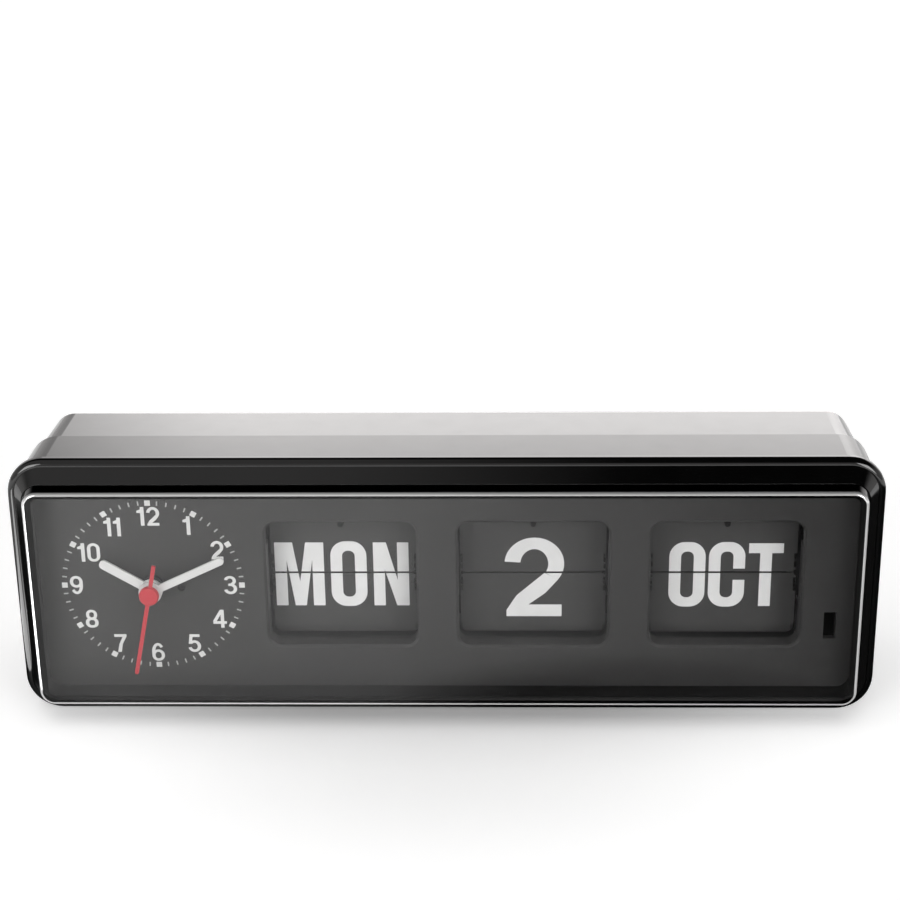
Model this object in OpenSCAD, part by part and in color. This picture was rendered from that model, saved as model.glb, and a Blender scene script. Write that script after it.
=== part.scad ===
// Desk clock with an analogue dial and a three-window flip calendar.
// +X is the viewer's right, +Y the back, +Z up. The origin is on the table, under the middle of the box.
// Inside the file, y = 0 is the front of the face panel and z = 0 the height of the dial's centre.

/* [Case] */
// Width across the bezel
case_w = 212; // [206:1:260]
// Height across the bezel
case_h = 67.6; // [66:0.2:84]
// Corner radius of the bezel
corner_r = 9; // [8.9:0.1:12]
// Wall of the two case shells
wall = 2; // [1.6:0.1:2.4]
// Where the front shell ends, behind the face
front_depth = 17.5; // [15:0.5:21]
// How far the front shell lies inside the bezel's rim
front_inset = 1.3; // [1:0.1:1.6]
// How far the rear shell lies inside the bezel's rim, at its front
rear_inset = 2.4; // [2:0.1:2.8]
// Draft of the rear shell over its length
rear_draft = 0.5; // [0.2:0.1:0.8]
// Edge radius round the back
back_edge_r = 2.5; // [2.1:0.1:3]
// Height of the feet below the bezel
foot_stand = 0.6; // [0.4:0.1:2]

/* [Bezel and lens] */
// Radius of the rolled rim
bead_r = 1.7; // [1.4:0.1:2]
// Width of the frame, from the rim to the lens
slope_inset = 4.5; // [4.2:0.1:5]
// How far the frame's inner edge stands in front of the face
slope_front = 6.7; // [6:0.1:7.5]
// How far the lens stands in front of the face
lens_front = 10.2; // [9.6:0.1:13]
// Thickness of the lens
lens_t = 2; // [1.6:0.1:2.2]
// Rounding of the lens's front edge
lens_edge_r = 1; // [0.6:0.1:1.4]

/* [Face] */
// Thickness of the face panel
panel_t = 1.8; // [1.4:0.1:2.2]
// Dial centre from the left end of the bezel
dial_from_left = 33.8; // [33:0.1:36]
// First window's centre from the dial centre
window_first = 46.7; // [46:0.1:50]
// Distance between window centres
window_pitch = 47.15; // [47:0.05:50]
// Window width
window_w = 36.9; // [36:0.1:37.4]
// Window height
window_h = 33.3; // [30:0.1:40]
// Window corner radius
window_r = 3; // [2:0.1:4]
// Chamfer round each window
window_chamfer = 0.6; // [0.3:0.1:0.8]
// Width of the slot at the right
slot_w = 3; // [2:0.1:4]
// Height of the slot at the right
slot_h = 7.2; // [5:0.1:9]
// Centre of that slot from the right end of the bezel
slot_from_right = 11.4; // [11:0.1:13]
// Centre of that slot below the dial's centre
slot_drop = 11; // [8:0.5:14]

/* [Hands] */
// Hour hand, centre to tip
hour_len = 14.25; // [10:0.25:17]
// Minute hand, centre to tip
minute_len = 20.4; // [16:0.1:21]
// Second hand, centre to tip
second_len = 21.8; // [18:0.1:23]
// Clockwise angles of the hour, minute and second hands from twelve
hand_angles = [-58.5, 64.5, 192]; // [-360:0.5:360]

/* [Flip calendar] */
// Leaves on the day, date and month drums
leaf_counts = [28, 31, 24]; // [24:1:36]
// Radius of the circle of leaf pivots
pivot_r = 8; // [8:0.1:9]
// Leaf thickness
leaf_t = 0.22; // [0.16:0.01:0.26]
// Distance from a leaf's outer edge to the window's edge, seen square on
leaf_margin = 1.85; // [1.4:0.05:2.4]
// Drum axle diameter
axle_d = 3; // [2.4:0.1:3.2]
// Tooth module of the drum gears and setting wheels
gear_module = 0.6; // [0.58:0.01:0.62]
// How far the setting wheels stand out of the back
wheel_stand = 2.75; // [2:0.25:4]

/* [Battery] */
// Diameter of the cell
cell_d = 14.5; // [10:0.5:14.5]
// Length of the cell with its cap
cell_len = 50.5; // [44:0.5:51]

/* [Hidden] */
$fn = 48;

// Clearances: loose between shells, running on shafts, pressed on shafts, end float of turning pieces
fit = 0.15;
running = 0.05;
press = 0.02;
float_gap = 0.25;

// How far joined solids run into each other, and how far a cut runs past a face
lap = 0.2;
past = 1;

// Layout across the front
dial_x = dial_from_left - case_w / 2;
window_x = [for (i = [0:2]) dial_x + window_first + i * window_pitch];
slot_x = case_w / 2 - slot_from_right;
slot_z = -slot_drop;
pin_hole_x = dial_x + 6.9;
pin_hole_z = -0.6;
pin_hole_r = 0.95;

// Bezel and lens sections, as insets from the rim
rim_back = 0.3;
rim_front = 0.7;
lip_land = 0.1;
pocket_inset = front_inset + wall - lip_land;
flange_inset = pocket_inset + fit;
flange_t = 1.6;
flange_play = 0.05;
lens_inset = slope_inset + lip_land + 0.1;
lens_taper = 0.6;
face_view_inset = 5.95;

// Wells behind the windows: walls at the sides and the foot, open above for the catches
well_t = 1;
well_top = 10;
well_gap = 1.6;

// Leaves: from the pivot to the outer edge, past the pivot, and the notch for the drum's end disc
leaf_top = window_h / 2 - leaf_margin;
leaf_half_gap = 0.2;
leaf_side_gap = 0.35;
leaf_hw = window_w / 2 - leaf_side_gap;
notch_h = 5.1;
notch_w = 0.65;
neck_hw = leaf_hw - notch_w;
pin_r = 0.35;
pin_play = 0.07;
pin_len = 1.25;
pin_root = 0.2;
leaf_corner_r = 1.5;
leaf_lean = 2;
function step(i) = 360 / leaf_counts[i];
function pivot_z(i) = pivot_r * sin(step(i) / 2);
function leaf_len(i) = leaf_top - pivot_z(i);
longest_leaf = max([for (i = [0:2]) leaf_len(i)]);

// Rounds a depth up to a twentieth of a millimetre
function round_up(v) = ceil(v * 20) / 20;

// Depths: the falling leaf clears the lens, and the leaf fan clears the back
swing_clear = 1.7;
hinge_y = round_up(longest_leaf - (lens_front - lens_t) + swing_clear);
drum_y = hinge_y + pivot_r;
fan_clear = 0.75;
back_inner_y = round_up(drum_y + pivot_r + longest_leaf + fan_clear);
back_y = back_inner_y + wall;

// Drum: end discs between leaf necks and gear, hub from upright to upright
disc_r = 9.1;
well_back = drum_y - disc_r - well_gap;
disc_t = 1.1;
disc_gap = 0.5;
disc_x = neck_hw + disc_gap;
disc_end = disc_x + disc_t;
hub_r = 3.2;
axle_r = axle_d / 2;
gear_gap = 0.6;
gear_boss_r = 5.2;
gear_x = disc_end + gear_gap;
gear_t = 2;
gear_end = gear_x + gear_t;
upright_t = 2;
upright_x = window_pitch / 2;
hub_end = upright_x - upright_t / 2 - float_gap;

// Gears and setting wheels
drum_teeth = 31;
addendum = 0.9 * gear_module;
dedendum = 1.15 * gear_module;
backlash = 0.16;
mesh_gap = 0.05;
drum_gear_r = gear_module * drum_teeth / 2;
wheel_teeth = floor((back_y + wheel_stand - drum_y - drum_gear_r - addendum) / gear_module);
wheel_r = gear_module * wheel_teeth / 2;
wheel_y = drum_y + drum_gear_r + wheel_r + mesh_gap;
wheel_side = 0.2;
wheel_x = gear_x - wheel_side;
wheel_t = gear_t + 2 * wheel_side;
slot_gap = 0.4;
post_r = 1.5;
post_shoulder = 1;
post_tip = 0.25;
retainer_t = 0.6;
retainer_r = 2.8;
retainer_gap = 0.15;

// Chassis: base on bosses of the front shell, end upright on the dial's side
rear_inner_inset = rear_inset + rear_draft + wall + 0.3;
base_lift = 0.4;
base_z = -(case_h / 2 - rear_inner_inset) + base_lift;
base_t = 2;
base_top = base_z + base_t;
base_front = 6;
end_upright_t = 1.5;
end_upright_x = window_x[0] - hub_end - float_gap - end_upright_t;
upright_top = 4.5;
upright_foot = 6.5;
upright_nose = 4;
upright_tail = 3;
chassis_right = window_x[2] + upright_x + upright_t / 2;
boss_y = 9;
boss_out = 19;
boss_in = 17;
boss_x = [window_x[0] - boss_out, window_x[0] + boss_in, window_x[2] - boss_in, window_x[2] + boss_out];
boss_r = 3;
boss_hole = 1.9;
chassis_screw_bite = 1.5;
clip_r = 3;
clip_t = 0.8;
clip_gap = 0.1;
clip_mouth = 0.7;
axle_end = 1.6;

// Movement behind the dial, arbors through its bush
movement_w = 40;
movement_t = 16;
movement_back = panel_t + movement_t;
movement_corner = 4;
bush_r = 2.6;
bush_front = 0.8;
hour_pipe_r = 2;
minute_arbor_r = 1.4;
second_arbor_r = 0.65;
hour_pipe_root = panel_t + 2.5;
minute_arbor_root = panel_t + 5;
second_arbor_root = panel_t + 7.5;
root_gap = 0.5;
hour_y = -2.6;
minute_y = -4;
second_y = -5.9;
hand_t = 0.6;
hour_w = 2.3;
minute_w = 1.9;
second_w = 0.95;
second_tail = 8.2;
hub_disc_r = 2.85;
second_disc_r = 2.45;
second_cap_r = second_disc_r - 0.1;
second_cap_t = 0.55;
second_cap_edge = 0.2;
movement_screw_x = 16;
movement_screw_z = -16;
movement_screw_r = 0.58;
movement_screw_hole = 1;
movement_screw_tip = panel_t - 1.2;
movement_head_y = panel_t + 2;
movement_head_r = 1.8;
movement_head_t = 1.2;
movement_well_r = 2.1;

// Setting knob on the back, above the battery
knob_z = 13;
knob_r = 7;
knob_t = 3.2;
knob_shaft_r = 1.6;
knob_shaft_in = 4.5;
knob_gap = 0.3;
knob_flutes = 24;
knob_flute_r = 0.5;
knob_skirt = 1;

// Battery tray between the movement and the back
tray_wall = 1.2;
tray_foot_w = 26;
tray_z = -13.8;
tray_corner = 2;
tray_back_gap = 0.1;
cell_r = cell_d / 2;
cell_cap_len = 1.3;
cell_cap_r = 2.75;
cell_shift = 0.15;
cell_back_gap = 1.15;
cell_y = back_inner_y - cell_back_gap - cell_r;
tray_in_h = cell_d + 1.3;
tray_in_w = cell_len + 1.9;
tray_cx = dial_x - 0.3;
tray_floor_y = cell_y - cell_r - 0.25;
contact_t = 0.4;
contact_h = 8;
contact_margin = 1.5;
contact_bump = 0.4;
contact_bump_r = 2.4;
door_gap = 0.3;
door_corner = 1.5;
door_grip_x = 19;
door_rib_pitch = 1.6;
door_rib_w = 0.7;
door_rib_stand = 0.5;
door_rib_margin = 3;

// Screw posts in the corners, and the feet
post_x = case_w / 2 - 8.5;
post_z = case_h / 2 - 7.8;
case_post_r = 2.5;
case_post_hole = 12;
case_screw_len = 9;
post_end_gap = 0.1;
screw_r = 1.4;
screw_head_r = 2.8;
screw_head_t = 1.4;
screw_way = 0.3;
head_well_r = 3.3;
head_seat_y = back_y - 1.6;
ledge_inset = 7.5;
ledge_t = 1.5;
tongue_t = 1.5;
tongue_len = 4.5;
foot_r = 4.5;
foot_edge = 0.4;
foot_x = case_w / 2 - 20;
foot_front_y = 8;
foot_rear_y = back_y - 8;
foot_z = -case_h / 2 - foot_stand;

// The whole clock, moved so that the box stands on the origin
front_y = -lens_front;
rear_y = back_y + knob_gap + knob_t;
y_shift = -(front_y + rear_y) / 2;
z_shift = -foot_z;
echo(y_shift = y_shift, z_shift = z_shift, dial_x = dial_x, window_x = window_x, hinge_y = hinge_y);
echo(drum_y = drum_y, back_y = back_y, wheel_y = wheel_y, wheel_teeth = wheel_teeth, knob_z = knob_z);

case_black = [0.03, 0.03, 0.032];
panel_grey = [0.15, 0.15, 0.15];
leaf_black = [0.06, 0.06, 0.06];
steel = [0.62, 0.63, 0.64];
moulding = [0.78, 0.77, 0.74];

module place() {
    translate([0, y_shift, z_shift]) children();
}

// A flat outline in x and z, given a depth from y0 to y1
module slab(y0, y1) {
    translate([0, y1, 0]) rotate([90, 0, 0]) linear_extrude(y1 - y0) children();
}

// A flat outline in y and z, given a width from x0 to x1
module plate_x(x0, x1) {
    translate([x0, 0, 0]) rotate([90, 0, 90]) linear_extrude(x1 - x0) children();
}

module shaft_x(x0, x1, r, y = 0, z = 0) {
    translate([x0, y, z]) rotate([0, 90, 0]) cylinder(r = r, h = x1 - x0);
}

module shaft_y(y0, y1, r, x = 0, z = 0) {
    translate([x, y0, z]) rotate([-90, 0, 0]) cylinder(r = r, h = y1 - y0);
}

module rounded(w, h, r) {
    square([w - 2 * r, h], center = true);
    square([w, h - 2 * r], center = true);
    for (sx = [-1, 1], sz = [-1, 1])
        translate([sx * (w / 2 - r), sz * (h / 2 - r)]) circle(r);
}

module case_outline(inset) {
    rounded(case_w - 2 * inset, case_h - 2 * inset, corner_r - inset);
}

// Runs a section round a rounded rectangle: section x is the inset from the outline, section y the depth
module sweep_frame(w, h, r) {
    for (side = [0, 1]) mirror([side, 0, 0])
        linear_extrude(h - 2 * r, center = true) translate([w / 2, 0]) mirror([1, 0]) children();
    for (turn = [-90, 90]) rotate([0, turn, 0])
        linear_extrude(w - 2 * r, center = true) translate([h / 2, 0]) mirror([1, 0]) children();
    for (sx = [0, 1], sz = [0, 1]) mirror([sx, 0, 0]) mirror([0, 0, sz])
        translate([w / 2 - r, 0, -(h / 2 - r)]) rotate([-90, 0, 0])
            rotate_extrude(angle = 90) translate([r, 0]) mirror([1, 0]) children();
}

module front_bezel() {
    color(case_black) place() sweep_frame(case_w, case_h, corner_r) {
        difference() {
            union() {
                polygon([
                    [0, rim_back], [0, -rim_front], [bead_r, -rim_front - bead_r],
                    [slope_inset, -slope_front], [slope_inset + lip_land, -slope_front],
                    [slope_inset + lip_land, rim_back]
                ]);
                intersection() {
                    translate([bead_r, -rim_front]) circle(bead_r);
                    translate([0, -rim_front - bead_r]) square([bead_r, bead_r]);
                }
            }
            translate([pocket_inset, -flange_t - flange_play]) square([slope_inset, flange_t + past]);
        }
    }
}

module lens() {
    wall_front = -lens_front + lens_edge_r;
    corner_inset = lens_inset + lens_taper;
    plate_inset = corner_inset + lens_edge_r + past;
    color([0.9, 0.93, 0.95, 0.3]) place() {
        sweep_frame(case_w, case_h, corner_r) {
            polygon([
                [flange_inset, 0], [flange_inset, -flange_t], [lens_inset, -flange_t],
                [lens_inset, -slope_front], [corner_inset, wall_front],
                [corner_inset + lens_edge_r, wall_front], [plate_inset + lap, wall_front],
                [plate_inset + lap, -lens_front + lens_t], [corner_inset + lens_t, -lens_front + lens_t],
                [face_view_inset, 0]
            ]);
            intersection() {
                translate([corner_inset + lens_edge_r, wall_front]) circle(lens_edge_r);
                translate([corner_inset, -lens_front]) square(lens_edge_r);
            }
            translate([corner_inset + lens_edge_r, -lens_front])
                square([plate_inset + lap - corner_inset - lens_edge_r, lens_edge_r]);
        }
        slab(-lens_front, -lens_front + lens_t) case_outline(plate_inset);
    }
}

module face_panel() {
    color(panel_grey) place() difference() {
        union() {
            slab(0, panel_t) difference() {
                case_outline(flange_inset + flange_play);
                for (x = window_x) translate([x, 0]) rounded(window_w, window_h, window_r);
                translate([slot_x, slot_z]) square([slot_w, slot_h], center = true);
                translate([dial_x, 0]) circle(bush_r + fit);
                translate([pin_hole_x, pin_hole_z]) circle(pin_hole_r);
            }
            for (x = window_x) translate([x, 0, 0])
                slab(panel_t - lap, well_back) window_well();
        }
        for (x = window_x) translate([x, 0, 0])
            sweep_frame(window_w + 2 * window_chamfer, window_h + 2 * window_chamfer,
                        window_r + window_chamfer)
                polygon([[0, -lap], [0, 0], [window_chamfer, window_chamfer], [2 * window_chamfer, -lap]]);
        for (side = [-1, 1])
            shaft_y(movement_screw_tip - flange_play, panel_t + past, movement_screw_r + press,
                    dial_x + side * movement_screw_x, movement_screw_z);
    }
}

// Outline of the walls behind one window
module window_well() {
    half_w = window_w / 2 + well_t;
    half_h = window_h / 2 + well_t;
    difference() {
        rounded(2 * half_w, 2 * half_h, window_r + well_t);
        rounded(window_w, window_h, window_r);
        translate([-half_w - past, well_top]) square([2 * (half_w + past), half_h]);
    }
}

module front_case() {
    wall_in = front_inset + wall;
    color(case_black) place() difference() {
        union() {
            slab(rim_back, front_depth) difference() {
                case_outline(front_inset);
                case_outline(wall_in);
            }
            slab(panel_t, panel_t + ledge_t) difference() {
                case_outline(wall_in - lap);
                case_outline(ledge_inset);
            }
            for (sx = [-1, 1], sz = [-1, 1])
                shaft_y(panel_t, back_inner_y - post_end_gap, case_post_r, sx * post_x, sz * post_z);
            for (x = boss_x)
                translate([x, boss_y, -case_h / 2 + wall_in - lap])
                    cylinder(r = boss_r, h = base_z + case_h / 2 - wall_in + lap);
        }
        for (sx = [-1, 1], sz = [-1, 1])
            shaft_y(back_inner_y - case_post_hole, back_inner_y + past, screw_r + press,
                    sx * post_x, sz * post_z);
        for (x = boss_x)
            translate([x, boss_y, base_z - boss_hole]) cylinder(r = screw_r + press, h = boss_hole + past);
    }
}

module rear_case() {
    tongue_in = front_inset + wall + fit;
    tongue_y = front_depth - tongue_len;
    edge_in = rear_inset + rear_draft;
    edge_y = back_y - back_edge_r;
    plate_in = edge_in + back_edge_r + lap;
    color(case_black) place() difference() {
        union() {
            sweep_frame(case_w, case_h, corner_r) {
                polygon([
                    [tongue_in, tongue_y], [tongue_in, front_depth], [rear_inset, front_depth],
                    [edge_in, edge_y], [edge_in + back_edge_r, back_y], [plate_in + past, back_y],
                    [plate_in + past, back_inner_y], [edge_in + wall, back_inner_y],
                    [tongue_in + tongue_t, front_depth], [tongue_in + tongue_t, tongue_y]
                ]);
                intersection() {
                    translate([edge_in + back_edge_r, edge_y]) circle(back_edge_r);
                    polygon([
                        [edge_in, edge_y], [edge_in + 0.6 * back_edge_r, edge_y + 0.4 * back_edge_r],
                        [edge_in + back_edge_r, back_y], [edge_in, back_y]
                    ]);
                }
            }
            slab(back_inner_y, back_y) case_outline(plate_in);
        }
        for (sx = [-1, 1], sz = [-1, 1]) {
            shaft_y(back_inner_y - past, back_y + past, screw_r + screw_way, sx * post_x, sz * post_z);
            shaft_y(head_seat_y, back_y + past, head_well_r, sx * post_x, sz * post_z);
        }
        for (x = window_x)
            translate([x + wheel_x - slot_gap, back_inner_y - past, -wheel_slot_half()])
                cube([wheel_t + 2 * slot_gap, wall + 2 * past, 2 * wheel_slot_half()]);
        shaft_y(back_inner_y - past, back_y + past, knob_shaft_r + slot_gap, dial_x, knob_z);
        slab(back_inner_y - past, back_y + past) translate([tray_cx, tray_z])
            rounded(tray_in_w, tray_in_h, door_corner);
    }
}

// Half the height of the opening that a setting wheel stands out of
function wheel_slot_half() = sqrt(pow(wheel_r + addendum, 2) - pow(back_inner_y - wheel_y, 2)) + 0.6;

module foot_pads() {
    color([0.12, 0.12, 0.12]) place() for (sx = [-1, 1]) {
        foot(sx * foot_x, foot_front_y, front_inset);
        foot(sx * foot_x, foot_rear_y, rear_inset_at(foot_rear_y - foot_r));
    }
}

// Inset of the drafted rear shell at a depth
function rear_inset_at(y) =
    rear_inset + rear_draft * (y - front_depth) / (back_y - back_edge_r - front_depth);

// A foot from the table up to the shell's underside, with its lower edge broken
module foot(x, y, inset) {
    foot_h = -case_h / 2 + inset - press - foot_z;
    translate([x, y, foot_z]) rotate_extrude() polygon([
        [0, 0], [foot_r - foot_edge, 0], [foot_r, foot_edge], [foot_r, foot_h], [0, foot_h]
    ]);
}

module case_screws() {
    color(steel) place() for (sx = [-1, 1], sz = [-1, 1]) {
        shaft_y(head_seat_y - case_screw_len, head_seat_y + lap, screw_r, sx * post_x, sz * post_z);
        shaft_y(head_seat_y, head_seat_y + screw_head_t, screw_head_r, sx * post_x, sz * post_z);
    }
}

// A flat hand with round ends, turned clockwise from twelve, front at y - hand_t
module hand(angle, tip, tail, w, disc_r, bore_r, y) {
    translate([dial_x, 0, 0]) rotate([0, angle, 0]) slab(y - hand_t, y) difference() {
        union() {
            translate([-w / 2, -tail]) square([w, tip + tail - w / 2]);
            translate([0, tip - w / 2]) circle(w / 2);
            circle(disc_r);
        }
        circle(bore_r);
    }
}

// A tube or pin of the arbor stack, on the dial's axis
module arbor(y0, y1, r, bore) {
    difference() {
        shaft_y(y0, y1, r, dial_x);
        if (bore > 0) shaft_y(y0 - past, y1 + past, bore, dial_x);
    }
}

module hour_hand() {
    color("white") place()
        hand(hand_angles[0], hour_len, 0, hour_w, hub_disc_r, hour_pipe_r + press, hour_y);
}

module hour_pipe() {
    color(steel) place()
        arbor(hour_y - hand_t, hour_pipe_root, hour_pipe_r, minute_arbor_r + running);
}

module minute_hand() {
    color("white") place()
        hand(hand_angles[1], minute_len, 0, minute_w, hub_disc_r, minute_arbor_r + press, minute_y);
}

module minute_arbor() {
    color(steel) place()
        arbor(minute_y - hand_t, minute_arbor_root, minute_arbor_r, second_arbor_r + running);
}

// The boss of the second hand is capped, with a broken edge, and hides the arbor's end
module second_hand() {
    cap_h = lap + second_cap_t;
    color([0.8, 0.2, 0.22]) place() {
        hand(hand_angles[2], second_len, second_tail, second_w, second_disc_r, second_arbor_r + press,
             second_y);
        translate([dial_x, second_y - hand_t + lap, 0]) rotate([90, 0, 0]) rotate_extrude() polygon([
            [0, 0], [second_cap_r, 0], [second_cap_r, cap_h - second_cap_edge],
            [second_cap_r - second_cap_edge, cap_h], [0, cap_h]
        ]);
    }
}

module second_arbor() {
    color(steel) place() arbor(second_y - hand_t + lap + running, second_arbor_root, second_arbor_r, 0);
}

module movement() {
    color(moulding) place() difference() {
        union() {
            slab(panel_t, movement_back) translate([dial_x, 0])
                rounded(movement_w, movement_w, movement_corner);
            shaft_y(-bush_front, panel_t + past, bush_r, dial_x);
        }
        arbor_way(hour_pipe_root, hour_pipe_r);
        arbor_way(minute_arbor_root, minute_arbor_r);
        arbor_way(second_arbor_root, second_arbor_r);
        shaft_y(movement_back - knob_shaft_in - root_gap, movement_back + past, knob_shaft_r + running,
                dial_x, knob_z);
        for (side = [-1, 1]) {
            x = dial_x + side * movement_screw_x;
            shaft_y(panel_t - past, movement_back + past, movement_screw_hole, x, movement_screw_z);
            shaft_y(movement_head_y, movement_back + past, movement_well_r, x, movement_screw_z);
        }
    }
}

// The bore in the movement that an arbor runs in, from the bush to past the arbor's root
module arbor_way(root, r) {
    shaft_y(-bush_front - past, root + root_gap, r + running, dial_x);
}

module movement_screws() {
    color(steel) place() for (side = [-1, 1]) {
        x = dial_x + side * movement_screw_x;
        shaft_y(movement_screw_tip, movement_head_y + lap, movement_screw_r, x, movement_screw_z);
        shaft_y(movement_head_y, movement_head_y + movement_head_t, movement_head_r, x, movement_screw_z);
    }
}

module set_knob() {
    y0 = back_y + knob_gap;
    color(case_black) place() {
        difference() {
            shaft_y(y0, y0 + knob_t, knob_r, dial_x, knob_z);
            for (i = [0:knob_flutes - 1])
                translate([dial_x, y0, knob_z]) rotate([0, i * 360 / knob_flutes, 0])
                    translate([knob_r, knob_skirt, 0]) rotate([-90, 0, 0])
                        cylinder(r = knob_flute_r, h = knob_t);
        }
        shaft_y(movement_back - knob_shaft_in, y0 + lap, knob_shaft_r, dial_x, knob_z);
    }
}

module battery_tray() {
    color(moulding) place() difference() {
        union() {
            slab(tray_floor_y - tray_wall, back_inner_y - tray_back_gap) translate([tray_cx, tray_z])
                rounded(tray_in_w + 2 * tray_wall, tray_in_h + 2 * tray_wall, tray_corner);
            slab(movement_back, tray_floor_y) translate([dial_x, tray_z])
                rounded(tray_foot_w, tray_in_h, tray_corner);
        }
        slab(tray_floor_y, back_inner_y + past) translate([tray_cx, tray_z])
            square([tray_in_w, tray_in_h], center = true);
    }
}

module battery_contacts() {
    half = tray_in_w / 2;
    color(steel) place() {
        for (side = [-1, 1])
            translate([tray_cx + side * (half - contact_t / 2), cell_y, tray_z])
                cube([contact_t, cell_d - 2 * contact_margin, contact_h], center = true);
        shaft_x(tray_cx - half + contact_t - lap, tray_cx - half + contact_t + contact_bump,
                contact_bump_r, cell_y, tray_z);
    }
}

module battery() {
    x0 = tray_cx - cell_len / 2 + cell_shift;
    shoulder = x0 + cell_len - cell_cap_len;
    color([0.75, 0.6, 0.3]) place() {
        shaft_x(x0, shoulder, cell_r, cell_y, tray_z);
        shaft_x(shoulder - lap, x0 + cell_len, cell_cap_r, cell_y, tray_z);
    }
}

module battery_door() {
    rib_len = tray_in_h - 2 * door_rib_margin;
    color(case_black) place() {
        slab(back_inner_y + tray_back_gap, back_y) translate([tray_cx, tray_z])
            rounded(tray_in_w - 2 * door_gap, tray_in_h - 2 * door_gap, door_corner - door_gap);
        translate([tray_cx + door_grip_x - door_rib_w / 2, back_y - lap, tray_z - rib_len / 2])
            for (i = [-2:2]) translate([i * door_rib_pitch, 0, 0])
                cube([door_rib_w, door_rib_stand + lap, rib_len]);
    }
}

module upright_outline(rear) {
    polygon([
        [drum_y - upright_foot, base_top - lap], [drum_y - upright_nose, upright_top],
        [rear, upright_top], [rear, base_top - lap]
    ]);
}

module calendar_chassis() {
    rear = wheel_y + upright_nose;
    opening_w = 14;
    opening_margin = 7.2;
    color(moulding) place() difference() {
        union() {
            translate([end_upright_x, base_front, base_z])
                cube([chassis_right - end_upright_x, rear - base_front, base_t]);
            plate_x(end_upright_x, end_upright_x + end_upright_t) upright_outline(drum_y + upright_tail);
            for (x = window_x) {
                plate_x(x + upright_x - upright_t / 2, x + upright_x + upright_t / 2) upright_outline(rear);
                shaft_x(x + wheel_x - retainer_gap - retainer_t - post_tip, x + upright_x, post_r, wheel_y);
                shaft_x(x + wheel_x + wheel_t + float_gap, x + upright_x, post_r + post_shoulder, wheel_y);
            }
        }
        shaft_x(end_upright_x - past, chassis_right + past, axle_r + press, drum_y);
        for (x = window_x)
            plate_x(x + upright_x - upright_t, x + upright_x + upright_t)
                translate([(drum_y + wheel_y) / 2, base_top / 2])
                    rounded(opening_w, -base_top - 2 * opening_margin, 2);
        for (x = boss_x)
            translate([x, boss_y, base_z - past]) cylinder(r = screw_r + lap, h = base_t + 2 * past);
    }
}

module chassis_screws() {
    color(steel) place() for (x = boss_x) translate([x, boss_y, base_top]) {
        translate([0, 0, -base_t - chassis_screw_bite])
            cylinder(r = screw_r, h = base_t + chassis_screw_bite + lap);
        cylinder(r = screw_head_r, h = screw_head_t);
    }
}

module drum_axle() {
    color(steel) place() shaft_x(end_upright_x - axle_end, chassis_right + axle_end, axle_r, drum_y);
}

module axle_clips() {
    mouth = axle_r * clip_mouth;
    clip_x = [end_upright_x - clip_gap - clip_t, chassis_right + clip_gap];
    color(steel) place() for (x = clip_x) difference() {
        shaft_x(x, x + clip_t, clip_r, drum_y);
        shaft_x(x - past, x + clip_t + past, axle_r + press, drum_y);
        translate([x - past, drum_y - mouth, 0]) cube([clip_t + 2 * past, 2 * mouth, clip_r + past]);
    }
}

module wheel_retainers() {
    color(steel) place() for (x = window_x) difference() {
        shaft_x(x + wheel_x - retainer_gap - retainer_t, x + wheel_x - retainer_gap, retainer_r, wheel_y);
        shaft_x(x, x + wheel_x + past, post_r + press, wheel_y);
    }
}

// Flat springs that ride under the drum gears and hold each drum on its step
module drum_detents() {
    tip = -drum_gear_r - addendum - 0.3;
    foot_hw = 3;
    spring_t = 0.5;
    color(steel) place() for (x = window_x) {
        translate([x + gear_x, drum_y - foot_hw, base_top]) cube([gear_t, 2 * foot_hw, spring_t]);
        plate_x(x + gear_x, x + gear_x + gear_t) translate([drum_y, 0]) polygon([
            [-spring_t / 2, base_top], [-spring_t / 2, tip - past], [0, tip],
            [spring_t / 2, tip - past], [spring_t / 2, base_top]
        ]);
    }
}

// Springs behind the face: each hangs in the top of its window and reaches over the standing leaf
module leaf_catches() {
    strip_w = 1.4;
    strip_t = 0.5;
    arm_t = 0.4;
    arm_gap = 0.55;
    pad_w = 6;
    pad_h = 4;
    pad_z = window_h / 2 + 2;
    tip_z = window_h / 2 - 1.9;
    bend_z = tip_z + strip_w / 2;
    arm_z = leaf_top + arm_t;
    color(steel) place() for (x = window_x) translate([x, 0, 0]) {
        slab(panel_t, panel_t + strip_t) {
            translate([-strip_w / 2, bend_z]) square([strip_w, pad_z + lap - bend_z]);
            translate([0, bend_z]) circle(strip_w / 2);
            translate([-pad_w / 2, pad_z]) square([pad_w, pad_h]);
        }
        translate([-strip_w / 2, panel_t, arm_z]) cube([strip_w, hinge_y - arm_gap - panel_t, arm_t]);
    }
}

// Tooth outline: straight flanks at 20 degrees, thinned at the pitch line by the backlash
function tooth_half(dr) = PI * gear_module / 4 - backlash / 2 - dr * tan(20);
function tooth_point(r, dr, side) = [r + dr, side * tooth_half(dr) / (r + dr) * 180 / PI];
function gear_points(n) = let (r = gear_module * n / 2)
    [for (i = [0:n - 1], p = [tooth_point(r, -dedendum, -1), tooth_point(r, addendum, -1),
                              tooth_point(r, addendum, 1), tooth_point(r, -dedendum, 1)])
        let (a = p[1] + i * 360 / n) [p[0] * cos(a), p[0] * sin(a)]];

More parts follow.
